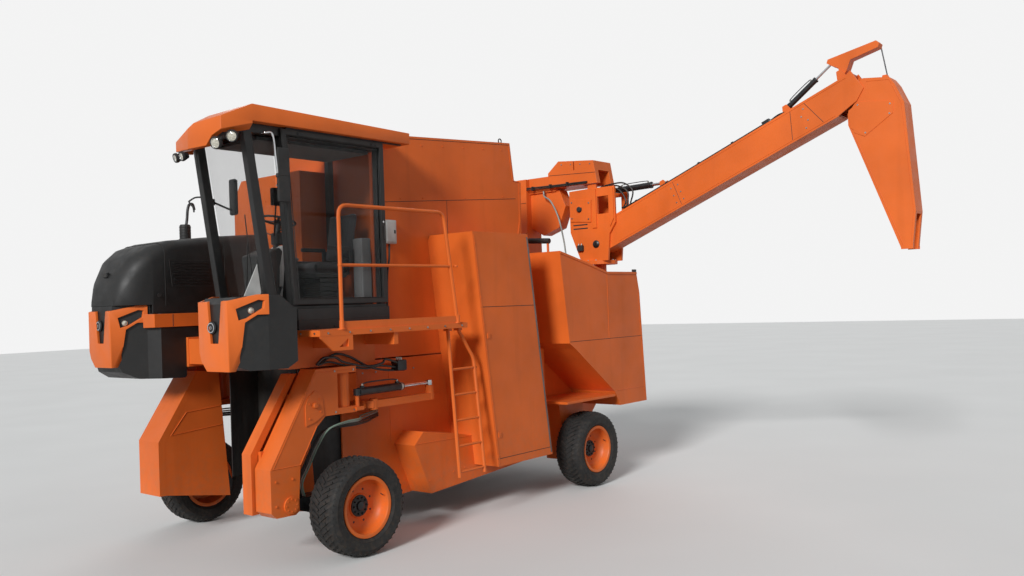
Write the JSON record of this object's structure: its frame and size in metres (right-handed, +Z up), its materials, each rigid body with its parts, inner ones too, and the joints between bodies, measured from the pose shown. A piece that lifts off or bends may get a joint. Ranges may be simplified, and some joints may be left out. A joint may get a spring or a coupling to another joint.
{
  "type": "coffee_harvester",
  "caption": "High-clearance coffee harvester that straddles the row, with an open side walkway, leaning shaker rotors, a rear hopper and a slewing discharge boom.",
  "frame": {"origin": "middle of the whole outline, on the floor the wheels stand on", "axes": "+Z up; the machine faces -Y; +X is its left side, to which the discharge boom is swung out"},
  "size_m": [7.26, 6.89, 5.548],
  "materials": {
    "black_plastic": "satin black",
    "cast_metal": "bare casting",
    "dark_metal": "satin black paint",
    "glass": "clear, slightly tinted",
    "grey_cloth": "woven cloth",
    "orange_paint": "satin orange paint",
    "polished_rod": "polished",
    "rubber_sheet": "black rubber sheet",
    "tyre_rubber": "black tyre rubber"
  },
  "bodies": {
    "chassis": {"cab_base": "black_plastic", "cab_frame": "black_plastic", "cab_glass": "glass", "cab_roof": "orange_paint", "collector_left": "cast_metal", "collector_right": "cast_metal", "curtain": "rubber_sheet", "discharge_head": "orange_paint", "engine_block": "cast_metal", "engine_tray": "black_plastic", "hopper": "orange_paint", "ladder": "orange_paint", "main_frame": "orange_paint", "nose_left": "orange_paint", "nose_right": "orange_paint", "operator_seat": "grey_cloth", "platform": "orange_paint", "rear_leg_left": "orange_paint", "rear_leg_right": "orange_paint", "side_housing_left": "orange_paint", "side_housing_right": "orange_paint", "steering_column": "black_plastic", "upper_body": "orange_paint"},
    "front_leg_left": {"front_leg_left": "orange_paint", "knuckle_front_left": "dark_metal"},
    "wheel_front_left": {"tyre_front_left": "tyre_rubber", "rim_front_left": "orange_paint"},
    "wheel_rear_left": {"tyre_rear_left": "tyre_rubber", "rim_rear_left": "orange_paint"},
    "steering_barrel_left": {"steering_barrel_left": "dark_metal"},
    "steering_rod_left": {"steering_rod_left": "polished_rod"},
    "shaker_left": {"shaker_rotor_left": "dark_metal"},
    "front_leg_right": {"front_leg_right": "orange_paint", "knuckle_front_right": "dark_metal"},
    "wheel_front_right": {"tyre_front_right": "tyre_rubber", "rim_front_right": "orange_paint"},
    "wheel_rear_right": {"tyre_rear_right": "tyre_rubber", "rim_rear_right": "orange_paint"},
    "steering_barrel_right": {"steering_barrel_right": "dark_metal"},
    "steering_rod_right": {"steering_rod_right": "polished_rod"},
    "shaker_right": {"shaker_rotor_right": "dark_metal"},
    "door": {"door": "black_plastic", "door_glass": "glass"},
    "bonnet": {"bonnet": "black_plastic"},
    "turret": {"turret": "orange_paint"},
    "boom": {"boom": "orange_paint"},
    "spout": {"spout": "orange_paint"},
    "crank": {"crank": "orange_paint"},
    "pull_rod": {"pull_rod": "dark_metal"},
    "lift_barrel": {"lift_barrel": "dark_metal"},
    "lift_rod": {"lift_rod": "polished_rod"},
    "spout_cylinder_barrel": {"spout_cylinder_barrel": "dark_metal"},
    "spout_cylinder_rod": {"spout_cylinder_rod": "polished_rod"}
  },
  "joints": [
    {"name": "steer_left", "type": "hinge", "parent": "chassis", "child": "front_leg_left", "pos_m": [-0.86, -1.935, 1.5], "axis": [0, 0, 1], "range_deg": [-22, 22]},
    {"name": "steering_barrel_swing_left", "type": "hinge", "parent": "front_leg_left", "child": "steering_barrel_left", "pos_m": [-0.77, -1.795, 1.64], "axis": [0, 0, 1], "range_deg": [-25.5, 25.5]},
    {"name": "steering_rod_slide_left", "type": "slide", "parent": "steering_barrel_left", "child": "steering_rod_left", "axis": [-0.0602, 0.9982, 0], "range_m": [-0.03893, 0.03893]},
    {"name": "spin_front_left", "type": "hinge", "parent": "front_leg_left", "child": "wheel_front_left", "pos_m": [-0.53, -2.045, 0.505], "axis": [1, 0, 0], "continuous": true},
    {"name": "spin_rear_left", "type": "hinge", "parent": "chassis", "child": "wheel_rear_left", "pos_m": [-0.53, 2.075, 0.505], "axis": [1, 0, 0], "continuous": true},
    {"name": "shake_left", "type": "hinge", "parent": "chassis", "child": "shaker_left", "pos_m": [-0.97, 0.53769, 1.2452], "axis": [0, -0.121, 0.9927], "continuous": true},
    {"name": "steer_right", "type": "hinge", "parent": "chassis", "child": "front_leg_right", "pos_m": [-3.1, -1.935, 1.5], "axis": [0, 0, 1], "range_deg": [-22, 22]},
    {"name": "steering_barrel_swing_right", "type": "hinge", "parent": "front_leg_right", "child": "steering_barrel_right", "pos_m": [-3.19, -1.795, 1.64], "axis": [0, 0, 1], "range_deg": [-25.5, 25.5]},
    {"name": "steering_rod_slide_right", "type": "slide", "parent": "steering_barrel_right", "child": "steering_rod_right", "axis": [0.0602, 0.9982, 0], "range_m": [-0.03893, 0.03893]},
    {"name": "spin_front_right", "type": "hinge", "parent": "front_leg_right", "child": "wheel_front_right", "pos_m": [-3.43, -2.045, 0.505], "axis": [1, 0, 0], "continuous": true},
    {"name": "spin_rear_right", "type": "hinge", "parent": "chassis", "child": "wheel_rear_right", "pos_m": [-3.43, 2.075, 0.505], "axis": [1, 0, 0], "continuous": true},
    {"name": "shake_right", "type": "hinge", "parent": "chassis", "child": "shaker_right", "pos_m": [-2.99, 0.53769, 1.2452], "axis": [0, -0.121, 0.9927], "continuous": true},
    {"name": "door_slide", "type": "slide", "parent": "chassis", "child": "door", "axis": [0, 1, 0], "range_m": [0, 0.75]},
    {"name": "bonnet_hinge", "type": "hinge", "parent": "chassis", "child": "bonnet", "pos_m": [-3.09, -1.695, 3.46], "axis": [-1, 0, 0], "range_deg": [0, 55]},
    {"name": "turret_slew", "type": "hinge", "parent": "chassis", "child": "turret", "pos_m": [-0.93, 3.145, 3.06], "axis": [0, 0, 1], "range_deg": [-60, 90]},
    {"name": "boom_lift", "type": "hinge", "parent": "turret", "child": "boom", "pos_m": [-0.68, 3.145, 3.42], "axis": [0, -1, 0], "range_deg": [-15, 12]},
    {"name": "lift_barrel_swing", "type": "hinge", "parent": "turret", "child": "lift_barrel", "pos_m": [-0.59, 3.145, 4.14], "axis": [0, -1, 0], "range_deg": [-17.65, 14.32]},
    {"name": "lift_rod_slide", "type": "slide", "parent": "lift_barrel", "child": "lift_rod", "axis": [0.9996, 0, 0.0284], "range_m": [-0.15491, 0.19239]},
    {"name": "spout_tilt", "type": "hinge", "parent": "boom", "child": "spout", "pos_m": [3.02, 3.145, 5], "axis": [0, -1, 0], "range_deg": [-6, 40]},
    {"name": "crank_swing", "type": "hinge", "parent": "boom", "child": "crank", "pos_m": [2.82, 3.145, 5.245], "axis": [0, -1, 0], "range_deg": [-4.37, 26.32]},
    {"name": "pull_rod_swing", "type": "hinge", "parent": "crank", "child": "pull_rod", "pos_m": [3.245, 3.145, 5.505], "axis": [0, -1, 0], "range_deg": [-23.69, 3.98]},
    {"name": "spout_barrel_swing", "type": "hinge", "parent": "boom", "child": "spout_cylinder_barrel", "pos_m": [2.06578, 3.145, 4.92322], "axis": [0, -1, 0], "range_deg": [-2.74, 0.84]},
    {"name": "spout_rod_slide", "type": "slide", "parent": "spout_cylinder_barrel", "child": "spout_cylinder_rod", "axis": [0.7938, 0, 0.6082], "range_m": [-0.09025, 0.01609]}
  ],
  "couplings": [
    {"joint": "steering_barrel_swing_left", "follows": "steer_left", "ratio": -1.1136},
    {"joint": "steering_rod_slide_left", "follows": "steer_left", "m_per_rad": -0.09619},
    {"joint": "steer_right", "follows": "steer_left", "ratio": 1},
    {"joint": "steering_barrel_swing_right", "follows": "steer_left", "ratio": -1.1136},
    {"joint": "steering_rod_slide_right", "follows": "steer_left", "m_per_rad": 0.09619},
    {"joint": "lift_barrel_swing", "follows": "boom_lift", "ratio": 1.11},
    {"joint": "lift_rod_slide", "follows": "boom_lift", "m_per_rad": -0.71577},
    {"joint": "crank_swing", "follows": "spout_tilt", "ratio": 0.64563},
    {"joint": "pull_rod_swing", "follows": "spout_tilt", "ratio": -0.57981},
    {"joint": "spout_barrel_swing", "follows": "spout_tilt", "ratio": -0.05602},
    {"joint": "spout_rod_slide", "follows": "spout_tilt", "m_per_rad": -0.12497}
  ]
}
